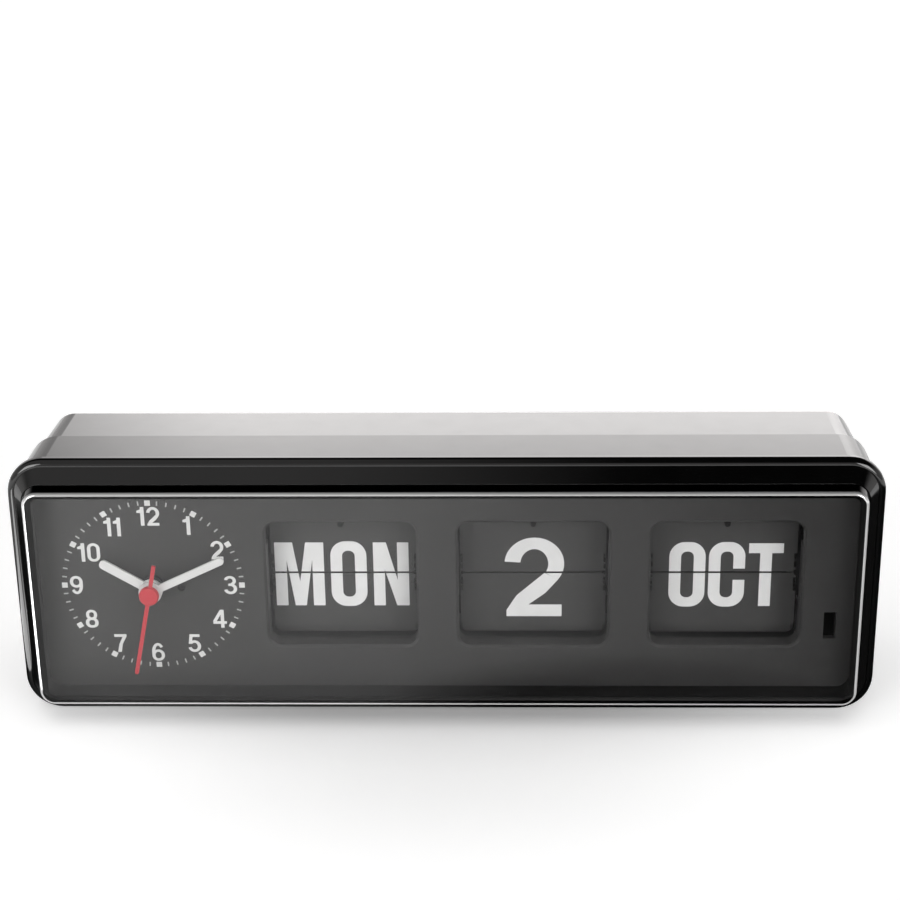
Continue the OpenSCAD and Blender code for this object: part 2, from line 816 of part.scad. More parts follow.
module drum(i) {
    color(leaf_black) place() translate([window_x[i], drum_y, 0]) difference() {
        union() {
            shaft_x(-hub_end, hub_end, hub_r);
            for (x = [-disc_end, disc_x]) shaft_x(x, x + disc_t, disc_r);
            shaft_x(disc_end - lap, gear_x + lap, gear_boss_r);
            plate_x(gear_x, gear_end) polygon(gear_points(drum_teeth));
        }
        shaft_x(-hub_end - past, hub_end + past, axle_r + running);
        for (k = [0:leaf_counts[i] - 1]) rotate([-(k + 0.5) * step(i), 0, 0])
            for (x = [-disc_end, disc_x])
                translate([x, -pivot_r, 0]) shaft_x(-gear_gap / 2, disc_t + gear_gap / 2, pin_r + pin_play);
    }
}

// Turned so that a gap faces the drum gear's foremost tooth
module setting_wheel(i) {
    color(leaf_black) place() translate([window_x[i], wheel_y, 0]) difference() {
        rotate([wheel_teeth % 2 == 0 ? 180 / wheel_teeth : 0, 0, 0])
            plate_x(wheel_x, wheel_x + wheel_t) polygon(gear_points(wheel_teeth));
        shaft_x(0, wheel_x + wheel_t + past, post_r + running);
    }
}

// One leaf: necked where the end discs stand, with a pin on each side of its pivot
module leaf_plate(i) {
    len = leaf_len(i);
    tail = pivot_z(i) - leaf_half_gap;
    neck = notch_h - pivot_z(i);
    slab(-leaf_t / 2, leaf_t / 2) {
        translate([-neck_hw, -tail]) square([2 * neck_hw, len + tail - leaf_corner_r]);
        translate([-leaf_hw, neck]) square([2 * leaf_hw, len - neck - leaf_corner_r]);
        translate([-leaf_hw + leaf_corner_r, len - 2 * leaf_corner_r])
            square([2 * (leaf_hw - leaf_corner_r), 2 * leaf_corner_r]);
        for (side = [-1, 1])
            translate([side * (leaf_hw - leaf_corner_r), len - leaf_corner_r]) circle(leaf_corner_r);
        translate([-neck_hw - pin_root - lap, -pin_r]) square([2 * (neck_hw + pin_root + lap), 2 * pin_r]);
    }
    for (side = [0, 1]) mirror([side, 0, 0]) shaft_x(neck_hw + pin_root, neck_hw + pin_root + pin_len, pin_r);
}

// A leaf hung at pivot number k, counted upwards from the front, standing in direction phi
// (0 is straight forward, 90 up, 180 back, 270 down)
module leaf(i, k, phi) {
    theta = (k + 0.5) * step(i);
    color(leaf_black) translate([window_x[i], drum_y - pivot_r * cos(theta), pivot_r * sin(theta)])
        rotate([90 - phi, 0, 0]) leaf_plate(i);
}

// The other leaves fan round the back of the drum
module leaf_pack(i) {
    first = 90 + 1.4 * step(i);
    last = 270 - leaf_lean;
    count = leaf_counts[i] - 3;
    place() for (k = [0:count - 1])
        leaf(i, k + 2, first + (last - first) * k / (count - 1));
}

module upper_leaf(i) { place() leaf(i, 0, 90); }
module next_leaf(i) { place() leaf(i, 1, 90); }
module lower_leaf(i) { place() leaf(i, -1, 270); }

front_bezel();
lens();
front_case();
rear_case();
face_panel();
foot_pads();
case_screws();
hour_hand();
hour_pipe();
minute_hand();
minute_arbor();
second_hand();
second_arbor();
movement();
movement_screws();
set_knob();
battery_tray();
battery_contacts();
battery();
battery_door();
calendar_chassis();
chassis_screws();
drum_axle();
axle_clips();
wheel_retainers();
drum_detents();
leaf_catches();
drum(0);  // day_drum
setting_wheel(0);  // day_wheel
upper_leaf(0);  // day_upper_leaf
next_leaf(0);  // day_next_leaf
lower_leaf(0);  // day_lower_leaf
leaf_pack(0);  // day_leaf_pack
drum(1);  // date_drum
setting_wheel(1);  // date_wheel
upper_leaf(1);  // date_upper_leaf
next_leaf(1);  // date_next_leaf
lower_leaf(1);  // date_lower_leaf
leaf_pack(1);  // date_leaf_pack
drum(2);  // month_drum
setting_wheel(2);  // month_wheel
upper_leaf(2);  // month_upper_leaf
next_leaf(2);  // month_next_leaf
lower_leaf(2);  // month_lower_leaf
leaf_pack(2);  // month_leaf_pack
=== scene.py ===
import math

import bmesh
import bpy
from mathutils import Matrix, Vector
from mathutils.geometry import delaunay_2d_cdt


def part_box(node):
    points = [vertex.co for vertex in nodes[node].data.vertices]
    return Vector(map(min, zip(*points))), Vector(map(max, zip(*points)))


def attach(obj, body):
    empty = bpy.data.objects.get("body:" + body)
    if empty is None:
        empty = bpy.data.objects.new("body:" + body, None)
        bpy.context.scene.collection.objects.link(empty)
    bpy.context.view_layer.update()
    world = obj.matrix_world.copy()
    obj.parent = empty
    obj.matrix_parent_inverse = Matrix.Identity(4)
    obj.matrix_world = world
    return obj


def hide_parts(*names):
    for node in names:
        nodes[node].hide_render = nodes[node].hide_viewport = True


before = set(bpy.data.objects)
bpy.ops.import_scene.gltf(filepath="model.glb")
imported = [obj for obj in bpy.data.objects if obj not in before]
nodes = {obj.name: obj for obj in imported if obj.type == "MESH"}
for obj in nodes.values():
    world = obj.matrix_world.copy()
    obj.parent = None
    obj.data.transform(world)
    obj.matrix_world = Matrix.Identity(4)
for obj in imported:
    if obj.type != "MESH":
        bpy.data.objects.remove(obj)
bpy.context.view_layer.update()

# Front and rear shells: two black ABS mouldings that meet at a step round the middle of the case.
# They come out of a polished mould, so they are glossy, with the faint waviness of moulded plastic.
# Only the flat back of the rear shell is spark-eroded to a fine matt texture.
mm = 0.001
case_black = (0.0035, 0.0035, 0.0036)
back_black = (0.012, 0.012, 0.0122)
shell_shine, shell_waves = (0.09, 0.14), (14, 0.010)
texture_shine, texture_grain_mm, texture_patch_mm = (0.36, 0.5), 0.4, 4.0
texture_shade = 0.85
# How far a face turns to the back where the texture starts, and where it is full
back_turn = (0.9, 0.97)
# The part of a noise that runs from the low value to the high one, and the size of a patch of
# roughness beside a patch of colour
noise_span = (0.3, 0.7)
shine_patch = 0.6


def add_node(tree, kind, **settings):
    """A node with its settings, where a name with a capital is an input socket."""
    made = tree.nodes.new("ShaderNode" + kind)
    for name, value in settings.items():
        if name[0].isupper():
            made.inputs[name.replace("_", " ")].default_value = value
        else:
            setattr(made, name, value)
    return made


def wired(tree, kind, first, second=None, **settings):
    """A one-output node whose first inputs are wired to the sockets given."""
    made = add_node(tree, kind, **settings)
    tree.links.new(first, made.inputs[0])
    if second is not None:
        tree.links.new(second, made.inputs[1])
    return made.outputs[0]


def drifting(tree, low, high, size_mm, detail=3.0):
    """A colour or a number that drifts between two values over patches of about size_mm."""
    where = add_node(tree, "TexCoord")
    noise = add_node(tree, "TexNoise", Scale=1 / (size_mm * mm), Detail=detail)
    ramp = add_node(tree, "ValToRGB")
    for stop, position, value in zip(ramp.color_ramp.elements, noise_span, (low, high)):
        stop.position = position
        stop.color = (*value, 1) if isinstance(value, tuple) else (value, value, value, 1)
    tree.links.new(where.outputs["Object"], noise.inputs["Vector"])
    tree.links.new(noise.outputs["Fac"], ramp.inputs["Fac"])
    return ramp.outputs["Color"]


def uneven(tree, shader, size_mm, height_mm, detail=2.0):
    """A skin that rises and falls by height_mm over patches of about size_mm."""
    where = add_node(tree, "TexCoord")
    noise = add_node(tree, "TexNoise", Scale=1 / (size_mm * mm), Detail=detail)
    bump = add_node(tree, "Bump", Strength=1.0, Distance=height_mm * mm)
    tree.links.new(where.outputs["Object"], noise.inputs["Vector"])
    tree.links.new(noise.outputs["Fac"], bump.inputs["Height"])
    tree.links.new(bump.outputs["Normal"], shader.inputs["Normal"])


def finish_of(name, colour, gloss, skin, drift=0.25, patch_mm=9.0, **sockets):
    """A finish whose colour and roughness drift: gloss is (smoothest, roughest), skin is
    (size, height) in mm."""
    material = bpy.data.materials.new(name)
    material.use_nodes = True
    tree = material.node_tree
    shader = tree.nodes["Principled BSDF"]
    darker = tuple(c * (1 - drift) for c in colour)
    lighter = tuple(min(1.0, c * (1 + drift)) for c in colour)
    tree.links.new(drifting(tree, darker, lighter, patch_mm), shader.inputs["Base Color"])
    tree.links.new(drifting(tree, *gloss, patch_mm * shine_patch), shader.inputs["Roughness"])
    uneven(tree, shader, *skin)
    for socket, value in sockets.items():
        shader.inputs[socket.replace("_", " ")].default_value = value
    return material


def dress(material, *names):
    """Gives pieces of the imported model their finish."""
    for name in names:
        nodes[name].data.materials.clear()
        nodes[name].data.materials.append(material)


shell_gloss = finish_of("shell_gloss", case_black, gloss=shell_shine, skin=shell_waves, IOR=1.5)
dress(shell_gloss, "front_case")
rear_shell = finish_of("rear_shell", case_black, gloss=shell_shine, skin=shell_waves, IOR=1.5)
rear_tree = rear_shell.node_tree
rear_gloss = rear_tree.nodes["Principled BSDF"]
rear_where = add_node(rear_tree, "TexCoord")
rear_axes = wired(rear_tree, "SeparateXYZ", rear_where.outputs["Normal"]).node
on_back = wired(rear_tree, "MapRange", rear_axes.outputs["Y"], From_Min=back_turn[0], From_Max=back_turn[1])
matt_shade = tuple(texture_shade * c for c in back_black)
matt_colour = drifting(rear_tree, matt_shade, back_black, texture_patch_mm)
matt_level = drifting(rear_tree, *texture_shine, texture_grain_mm)
for socket, matt in (("Base Color", matt_colour), ("Roughness", matt_level)):
    glossy = rear_gloss.inputs[socket].links[0].from_socket
    both = add_node(rear_tree, "Mix", data_type="RGBA")
    rear_tree.links.new(on_back, both.inputs["Factor"])
    rear_tree.links.new(glossy, both.inputs["A"])
    rear_tree.links.new(matt, both.inputs["B"])
    rear_tree.links.new(both.outputs["Result"], rear_gloss.inputs[socket])
dress(rear_shell, "rear_case")

# Face panel: one sheet of dark grey satin plastic behind the lens, with three chamfered windows,
# the slot at the right and the dial. It drops on to the ledge inside the front shell.
panel_grey = (0.029, 0.0284, 0.0280)
panel_satin = finish_of("panel_satin", panel_grey, gloss=(0.46, 0.54), skin=(0.8, 0.0006), drift=0.06,
                        IOR=1.46)
dress(panel_satin, "face_panel")

# Dial printing: white screen print on the face panel, twelve upright numerals inside a ring of
# hour squares and finer minute marks.
ink_white = (0.70, 0.70, 0.69)
tick_grey = (0.42, 0.42, 0.415)
ink_mm = 0.02
face_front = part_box("face_panel")[0].y
dial_x = (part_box("hour_pipe")[0].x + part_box("hour_pipe")[1].x) / 2 / mm
dial_z = (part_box("hour_pipe")[0].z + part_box("hour_pipe")[1].z) / 2 / mm
hour_ring_mm = 22.0
hour_square_mm = 1.4
tick_length_mm, tick_width_mm = 1.15, 0.34
numeral_ring_mm = 18.5
numeral_own_ring_mm = {2: 18.9, 3: 19.15, 9: 19.1, 10: 17.7, 11: 18.1}
numeral_high_mm = 4.95
numeral_gap = 0.12
# Points nearer than this are one point, and faces that turn by less than this are one face
weld_mm, flat_within = 1e-5, 0.01
# Steps of a rounded corner, the points of a whole ring, and its steps that are the straight sides
corner_steps = 9
ring_points = 4 * (corner_steps + 1)
left_side, right_side = ring_points // 2 - 1, ring_points - 1


def patch(*corners):
    """One flat patch of a character, in its own units: the capital height is 1."""
    return [list(corners)]


def stroke_arc(centre, outer, thick, start, end, steps=20):
    """Patches along an oval stroke from one angle to another, in degrees from the right."""
    made = []
    for k in range(steps):
        a, b = (math.radians(start + (end - start) * (k + j) / steps) for j in (0, 1))
        ring = [(outer, a), (outer, b), ((outer[0] - thick[0], outer[1] - thick[1]), b),
                ((outer[0] - thick[0], outer[1] - thick[1]), a)]
        made.append([(centre[0] + r[0] * math.cos(t), centre[1] + r[1] * math.sin(t)) for r, t in ring])
    return made


def rounded_ring(left, foot, wide, high, radius, inner, inner_radius, first=0, last=ring_points):
    """Patches between two rounded rectangles, from one step of the ring to another."""
    def corner_points(x, z, w, h, r):
        quarter = [(math.pi / 2 * q, x + (w - r if q in (0, 3) else r), z + (h - r if q in (0, 1) else r))
                   for q in range(4)]
        turns = [math.pi / 2 * k / corner_steps for k in range(corner_steps + 1)]
        return [(cx + r * math.cos(a + b), cz + r * math.sin(a + b))
                for a, cx, cz in quarter for b in turns]
    outside = corner_points(left, foot, wide, high, radius)
    side, cap = (wide - inner[0]) / 2, (high - inner[1]) / 2
    inside = corner_points(left + side, foot + cap, *inner, inner_radius)
    steps = [(k % ring_points, (k + 1) % ring_points) for k in range(first, last)]
    return [[outside[k], outside[n], inside[n], inside[k]] for k, n in steps]


def half_turn(patches, wide):
    """A character turned upside down in its own place."""
    return [[(wide - x, 1 - z) for x, z in corners] for corners in patches]


# Each character is (width, patches), drawn as bold grotesque figures
digit_six = (rounded_ring(0, 0, 0.64, 0.64, 0.31, (0.31, 0.36), 0.15)
             + stroke_arc((0.32, 0.5), (0.32, 0.5), (0.165, 0.14), 38, 200))
figures = {
    "0": (0.64, rounded_ring(0, 0, 0.64, 1, 0.31, (0.30, 0.72), 0.148)),
    "1": (0.36, patch((0.18, 0), (0.36, 0), (0.36, 1), (0.18, 1))
          + patch((0, 0.68), (0.2, 0.68), (0.36, 1), (0.22, 1), (0.17, 0.87), (0, 0.80))),
    "2": (0.64, stroke_arc((0.32, 0.67), (0.32, 0.33), (0.17, 0.145), 175, -38)
          + patch((0.43, 0.555), (0.573, 0.468), (0.44, 0.30), (0.25, 0.145), (0.02, 0.0), (0.02, 0.08),
                  (0.13, 0.27))
          + patch((0.02, 0), (0.615, 0), (0.615, 0.15), (0.06, 0.15))),
    "3": (0.65, stroke_arc((0.31, 0.735), (0.30, 0.265), (0.165, 0.135), 168, -75)
          + stroke_arc((0.32, 0.295), (0.33, 0.295), (0.17, 0.14), 75, -168)
          + patch((0.22, 0.455), (0.4, 0.455), (0.4, 0.585), (0.22, 0.585))),
    "4": (0.68, patch((0.38, 0), (0.55, 0), (0.55, 1), (0.38, 1))
          + patch((0, 0.22), (0.68, 0.22), (0.68, 0.365), (0, 0.365))
          + patch((0, 0.30), (0.15, 0.33), (0.42, 0.80), (0.42, 1), (0.36, 1), (0, 0.40))),
    "5": (0.65, patch((0.10, 0.85), (0.60, 0.85), (0.60, 1), (0.10, 1))
          + patch((0.03, 0.46), (0.19, 0.46), (0.25, 0.9), (0.10, 1))
          + stroke_arc((0.32, 0.33), (0.33, 0.33), (0.17, 0.14), 142, -165)),
    "6": (0.64, digit_six),
    "7": (0.62, patch((0, 0.85), (0.62, 0.85), (0.62, 1), (0, 1))
          + patch((0.44, 0.9), (0.62, 0.87), (0.40, 0.46), (0.32, 0), (0.13, 0), (0.23, 0.45))),
    "8": (0.64, rounded_ring(0, 0, 0.64, 0.565, 0.27, (0.30, 0.29), 0.13)
          + rounded_ring(0.04, 0.435, 0.56, 0.565, 0.27, (0.24, 0.29), 0.115)),
    "9": (0.64, half_turn(digit_six, 0.64)),
}


def set_line(text, style, gap):
    """The patches of a word in capital heights, and the word's width."""
    along, made = 0.0, []
    for character in text:
        wide, patches = style[character]
        made += [[(along + x, z) for x, z in corners] for corners in patches]
        along += wide + gap
    return made, along - gap


def fitted(patches, wide, box):
    """Patches of a word spread over a box given as (left, right, foot, top) in mm."""
    left, right, foot, top = box
    return [[(left + x / wide * (right - left), foot + z * (top - foot)) for x, z in corners]
            for corners in patches]


def anticlockwise(shape):
    """The corners of a patch, so that they run anticlockwise."""
    turn = sum(a[0] * b[1] - b[0] * a[1] for a, b in zip(shape, shape[1:] + shape[:1]))
    return shape if turn > 0 else shape[::-1]


def printed(name, patches, surface_y, faces_front=True, keep=None):
    """A film of ink in the shape of flat patches (x, z in mm) on a surface. keep is (height, side):
    only what lies above (1) or below (-1) that height stays."""
    patches = [anticlockwise(shape) for shape in patches]
    corners = [Vector(p) for shape in patches for p in shape]
    starts = [sum(len(s) for s in patches[:k]) for k in range(len(patches))]
    shapes = [list(range(start, start + len(s))) for start, s in zip(starts, patches)]
    flat, _, triangles, _, _, owners = delaunay_2d_cdt(corners, [], shapes, 0, weld_mm)
    film = bmesh.new()
    verts = [film.verts.new((p.x * mm, surface_y, p.y * mm)) for p in flat]
    for triangle, owner in zip(triangles, owners):
        if owner:
            film.faces.new([verts[k] for k in triangle])
    loose = [v for v in film.verts if not v.link_faces]
    bmesh.ops.delete(film, geom=loose, context="VERTS")
    if keep:
        height, side = keep
        bmesh.ops.bisect_plane(film, geom=film.verts[:] + film.edges[:] + film.faces[:],
                               plane_co=(0, 0, height * mm), plane_no=(0, 0, -side), clear_outer=True)
    bmesh.ops.dissolve_limit(film, angle_limit=flat_within, verts=film.verts[:], edges=film.edges[:])
    raised = bmesh.ops.extrude_face_region(film, geom=film.faces[:])["geom"]
    lift = Vector((0, -ink_mm * mm if faces_front else ink_mm * mm, 0))
    bmesh.ops.translate(film, verts=[v for v in raised if isinstance(v, bmesh.types.BMVert)], vec=lift)
    bmesh.ops.recalc_face_normals(film, faces=film.faces[:])
    return piece_from(name, film)


def piece_from(name, shape):
    """A new object from a finished bmesh."""
    mesh = bpy.data.meshes.new(name)
    shape.to_mesh(mesh)
    shape.free()
    made = bpy.data.objects.new(name, mesh)
    bpy.context.scene.collection.objects.link(made)
    return made


def on_dial(hours, radius):
    """The point of the dial, in mm, at a number of hours and a radius."""
    turn = math.radians(hours * 30)
    return dial_x + radius * math.sin(turn), dial_z + radius * math.cos(turn)


def radial_mark(hours, radius, length, width):
    """The corners of a mark that points out from the middle of the dial."""
    turn = math.radians(hours * 30)
    out, side = (math.sin(turn), math.cos(turn)), (math.cos(turn), -math.sin(turn))
    x, z = on_dial(hours, radius)
    return [(x + a * length / 2 * out[0] + b * width / 2 * side[0],
             z + a * length / 2 * out[1] + b * width / 2 * side[1])
            for a, b in ((-1, -1), (-1, 1), (1, 1), (1, -1))]


screen_ink = finish_of("screen_ink", ink_white, gloss=(0.45, 0.6), skin=(0.12, 0.002), drift=0.03,
                       patch_mm=2.0)
fine_ink = finish_of("fine_ink", tick_grey, gloss=(0.45, 0.6), skin=(0.12, 0.002), drift=0.05, patch_mm=2.0)

numeral_patches = []
for hour in range(1, 13):
    word, wide = set_line(str(hour), figures, numeral_gap)
    x, z = on_dial(hour, numeral_own_ring_mm.get(hour, numeral_ring_mm))
    half = wide * numeral_high_mm / 2
    numeral_patches += fitted(word, wide, (x - half, x + half, z - numeral_high_mm / 2,
                                           z + numeral_high_mm / 2))
numerals = printed("dial_numerals", numeral_patches, face_front)
hour_marks = printed("dial_hour_marks", [radial_mark(h, hour_ring_mm, hour_square_mm, hour_square_mm)
                                         for h in range(12)], face_front)
minute_marks = printed("dial_minute_marks",
                       [radial_mark(m / 5, hour_ring_mm, tick_length_mm, tick_width_mm)
                        for m in range(60) if m % 5], face_front)
for marks, ink in ((numerals, screen_ink), (hour_marks, screen_ink), (minute_marks, fine_ink)):
    marks.data.materials.append(ink)
    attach(marks, "case")

# Movement and chassis: a sealed quartz movement in dark engineering plastic behind the dial, screwed to
# the panel, with its arbors in plain steel and the battery tray behind it, and the chassis of the drums.
frame_grey = (0.05, 0.05, 0.053)
works_plastic = finish_of("works_plastic", frame_grey, gloss=(0.4, 0.55), skin=(0.5, 0.012))
dress(works_plastic, "movement", "battery_tray", "calendar_chassis")

steel_grey = (0.46, 0.46, 0.47)
plain_steel = finish_of("plain_steel", steel_grey, gloss=(0.22, 0.38), skin=(0.2, 0.004), drift=0.1,
                        Metallic=1.0)
dress(plain_steel, "hour_pipe", "minute_arbor", "second_arbor", "movement_screws", "battery_contacts",
      "chassis_screws", "drum_axle", "axle_clips", "wheel_retainers", "drum_detents")

# Hands: stamped flat and pressed on their arbors, the hour and minute hands lacquered white and the
# seconds hand red, with its round boss over the other two.
hand_white = (0.625, 0.625, 0.618)
hand_red = (0.465, 0.031, 0.043)
white_lacquer = finish_of("white_lacquer", hand_white, gloss=(0.3, 0.38), skin=(1.5, 0.006), drift=0.02)
red_lacquer = finish_of("red_lacquer", hand_red, gloss=(0.3, 0.38), skin=(1.5, 0.006), drift=0.06)
dress(white_lacquer, "hour_hand", "minute_hand")
dress(red_lacquer, "second_hand")

# Calendar drums, leaves, catches and wheels: thin matt black leaves hang by their pins between the end
# discs of three drums. A spring catch at the top of each window holds the leaf that stands, and a grey
# thumb wheel at the back turns each drum by its gear.
leaf_black = (0.041, 0.0403, 0.0398)
# The drums' own black, made darker than the leaves' so that it paints shade in the notches; it is also the
# black of the painted shade on the pack's leaf ends
drum_black_and_shade = (0.003, 0.003, 0.003)
catch_black = (0.003, 0.003, 0.003)
wheel_grey = (0.045, 0.045, 0.047)
leaf_shine, leaf_skin = (0.5, 0.62), (0.8, 0.0006)
# Half the width of a leaf between its notches, and the fade of the painted shade on the ends of the imported
# leaves
leaf_neck_mm, notch_shade_fade_mm = 17.45, 0.05
leaf_matt = finish_of("leaf_matt", leaf_black, gloss=leaf_shine, skin=leaf_skin, drift=0.06, IOR=1.45)
drum_matt = finish_of("drum_matt", drum_black_and_shade, gloss=(0.6, 0.75), skin=(0.4, 0.01), Specular_IOR_Level=0.25)
catch_black_steel = finish_of("catch_black_steel", catch_black, gloss=(0.6, 0.7), skin=(0.3, 0.004),
                              Specular_IOR_Level=0.15)
wheel_plastic = finish_of("wheel_plastic", wheel_grey, gloss=(0.38, 0.5), skin=(0.5, 0.008))


def dark_ends(material, middle_x, half_mm):
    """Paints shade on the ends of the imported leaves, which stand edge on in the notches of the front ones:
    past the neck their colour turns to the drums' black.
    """
    tree = material.node_tree
    shader = tree.nodes["Principled BSDF"]
    where = add_node(tree, "TexCoord")
    across = wired(tree, "SeparateXYZ", where.outputs["Object"])
    aside = wired(tree, "Math", across, operation="SUBTRACT")
    aside.node.inputs[1].default_value = middle_x
    away = wired(tree, "Math", aside, operation="ABSOLUTE")
    in_notch_shade = wired(tree, "MapRange", away, From_Min=half_mm * mm, From_Max=(half_mm + notch_shade_fade_mm) * mm)
    tone = add_node(tree, "Mix", data_type="RGBA", B=(*drum_black_and_shade, 1))
    tree.links.new(in_notch_shade, tone.inputs["Factor"])
    tree.links.new(shader.inputs["Base Color"].links[0].from_socket, tone.inputs["A"])
    tree.links.new(tone.outputs["Result"], shader.inputs["Base Color"])


units = ("day", "date", "month")
for unit in units:
    low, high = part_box(f"{unit}_upper_leaf")
    # The leaves in the pack get painted shade at their ends, where they show in the notches
    pack_notch_shade = finish_of(f"{unit}_pack_notch_shade", leaf_black, gloss=leaf_shine, skin=leaf_skin, drift=0.06,
                          IOR=1.45)
    dark_ends(pack_notch_shade, (low.x + high.x) / 2, leaf_neck_mm)
    dress(pack_notch_shade, f"{unit}_leaf_pack")
    dress(leaf_matt, *[f"{unit}_{leaf}" for leaf in ("upper_leaf", "next_leaf", "lower_leaf")])
    dress(drum_matt, f"{unit}_drum")
    dress(wheel_plastic, f"{unit}_wheel")
dress(catch_black_steel, "leaf_catches")

# Leaf printing: bold condensed words and a wide figure, white, cut in two at the hinge. Each leaf
# carries an upper half on its front and, for the next turn, a lower half on its back.
stem = 0.175
letters = {
    "M": (0.735, patch((0, 0), (stem, 0), (stem, 1), (0, 1))
          + patch((0.56, 0), (0.735, 0), (0.735, 1), (0.56, 1))
          + patch((0.17, 0.76), (0.285, 0), (0.45, 0), (0.565, 0.76), (0.565, 1), (0.465, 1), (0.3675, 0.38),
                  (0.27, 1), (0.17, 1))),
    "N": (0.53, patch((0, 0), (0.17, 0), (0.17, 1), (0, 1))
          + patch((0.36, 0), (0.53, 0), (0.53, 1), (0.36, 1))
          + patch((0.16, 0.605), (0.345, 0), (0.37, 0), (0.37, 0.37), (0.195, 1), (0.16, 1))),
    "O": (0.54, rounded_ring(0, -0.01, 0.54, 1.03, 0.23, (0.19, 0.73), 0.085)),
    "C": (0.54, rounded_ring(0, -0.01, 0.54, 1.03, 0.23, (0.19, 0.73), 0.085, last=right_side)
          + patch((0.365, 0.42), (0.54, 0.42), (0.54, 0.2), (0.365, 0.2))
          + patch((0.365, 0.6), (0.54, 0.6), (0.54, 0.8), (0.365, 0.8))),
    "T": (0.515, patch((0, 0.845), (0.515, 0.845), (0.515, 1), (0, 1))
          + patch((0.17, 0), (0.345, 0), (0.345, 0.9), (0.17, 0.9))),
    "U": (0.54, rounded_ring(0, -0.01, 0.54, 1.03, 0.23, (0.19, 0.73), 0.085, left_side, right_side)
          + patch((0, 0.22), (0.175, 0.22), (0.175, 1), (0, 1))
          + patch((0.365, 0.22), (0.54, 0.22), (0.54, 1), (0.365, 1))),
    "E": (0.46, patch((0, 0), (0.18, 0), (0.18, 1), (0, 1))
          + patch((0.1, 0), (0.46, 0), (0.46, 0.16), (0.1, 0.16))
          + patch((0.1, 0.42), (0.42, 0.42), (0.42, 0.58), (0.1, 0.58))
          + patch((0.1, 0.84), (0.46, 0.84), (0.46, 1), (0.1, 1))),
    "V": (0.60, patch((0, 1), (0.19, 1), (0.30, 0.25), (0.41, 1), (0.60, 1), (0.40, 0), (0.20, 0))),
}
# Word or figure on show, the next one, the gap between letters in capital heights, and the box that
# the word fills on its leaf: left, right, foot, top
leaf_words = {
    "day": ("MON", "TUE", letters, 0.1, (-17.25, 16.2, -9.15, 8.15)),
    "date": ("2", "3", figures, 0.1, (-7.1, 7.75, -12.15, 9.45)),
    "month": ("OCT", "NOV", letters, 0.05, (-13.4, 14.75, -9.3, 7.85)),
}
hinge_gap_mm = 0.24
leaf_thick_mm = 0.22
word_white = (0.775, 0.775, 0.77)
leaf_ink = finish_of("leaf_ink", word_white, gloss=(0.45, 0.6), skin=(0.2, 0.002), drift=0.03, patch_mm=4.0)
for unit in units:
    shown, coming, style, letter_gap, box = leaf_words[unit]
    low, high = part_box(f"{unit}_drum")
    centre_x = (low.x + high.x) / 2 / mm
    hinge_z = (low.z + high.z) / 2 / mm
    left, right, foot, top = box
    placed = (centre_x + left, centre_x + right, hinge_z + foot, hinge_z + top)
    fronts = {leaf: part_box(f"{unit}_{leaf}") for leaf in ("upper_leaf", "next_leaf", "lower_leaf")}
    leaf_mid = {leaf: (near.y + far.y) / 2 for leaf, (near, far) in fronts.items()}
    leaf_half = leaf_thick_mm / 2 * mm
    now, now_wide = set_line(shown, style, letter_gap)
    later, later_wide = set_line(coming, style, letter_gap)
    above, below = (hinge_z + hinge_gap_mm, 1), (hinge_z - hinge_gap_mm, -1)
    # The next leaf stands higher than the one on show by what its pivot drops in one step of the drum
    drop = (fronts["next_leaf"][1].z - fronts["upper_leaf"][1].z) / mm
    raised = (placed[0], placed[1], placed[2] + drop, placed[3] + drop)
    above_raised = (hinge_z + hinge_gap_mm + drop, 1)
    upside = [[(x, 2 * hinge_z - z) for x, z in corners] for corners in fitted(later, later_wide, placed)]
    for name, leaf, patches, front, keep in (
        ("word_upper", "upper_leaf", fitted(now, now_wide, placed), True, above),
        ("word_lower", "lower_leaf", fitted(now, now_wide, placed), True, below),
        ("coming_upper", "next_leaf", fitted(later, later_wide, raised), True, above_raised),
        ("coming_lower", "upper_leaf", upside, False, above),
    ):
        surface = leaf_mid[leaf] + (-leaf_half if front else leaf_half)
        ink = printed(f"{unit}_{name}", patches, surface, front, keep)
        ink.data.materials.append(leaf_ink)
        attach(ink, f"{unit}_{leaf}")

# Lens: one clear acrylic moulding, a shallow tray with a polished front that is held by its flange
# under the bezel. Its rounded front edge is a painted highlight, an opaque white half-mirror band, with
# painted shade that dulls it the more it faces up, its side walls are opaque and painted near black as
# shade, and light from the lamps passes the rest. Its rounded front edge is a bright line, duller along
# the top, its side walls are blacked so that the works don't show, and light from the lamps passes the
# rest.
acrylic_ior = 1.49
# Painted highlight on the rounded edge, and painted shade on the side walls
painted_edge_highlight, painted_wall_shade = 0.93, 0.002
edge_shine = 0.45
# How much painted shade dulls the edge where it faces up
painted_top_edge_shade = 0.88
lens_shine, lens_patch_mm = (0.0, 0.02), 30
# How far a face of the lens turns to the front: its walls 0.16 inside and 0.23 outside, the rounded
# edge from there to 1
wall_turn, edge_turn, front_turn = (0.13, 0.15), (0.28, 0.38), (0.965, 0.985)
lens_clear = bpy.data.materials.new("lens_clear")
lens_clear.use_nodes = True
lens_tree = lens_clear.node_tree
acrylic = lens_tree.nodes["Principled BSDF"]
acrylic.inputs["IOR"].default_value = acrylic_ior
lens_tree.links.new(drifting(lens_tree, *lens_shine, lens_patch_mm), acrylic.inputs["Roughness"])


def stepped(tree, value, *stops):
    """A grey level that runs through (position, level) stops."""
    ramp = add_node(tree, "ValToRGB")
    while len(ramp.color_ramp.elements) < len(stops):
        ramp.color_ramp.elements.new(1.0)
    for stop, (position, level) in zip(ramp.color_ramp.elements, stops):
        stop.position = position
        stop.color = (level, level, level, 1)
    tree.links.new(value, ramp.inputs["Fac"])
    return ramp.outputs["Color"]


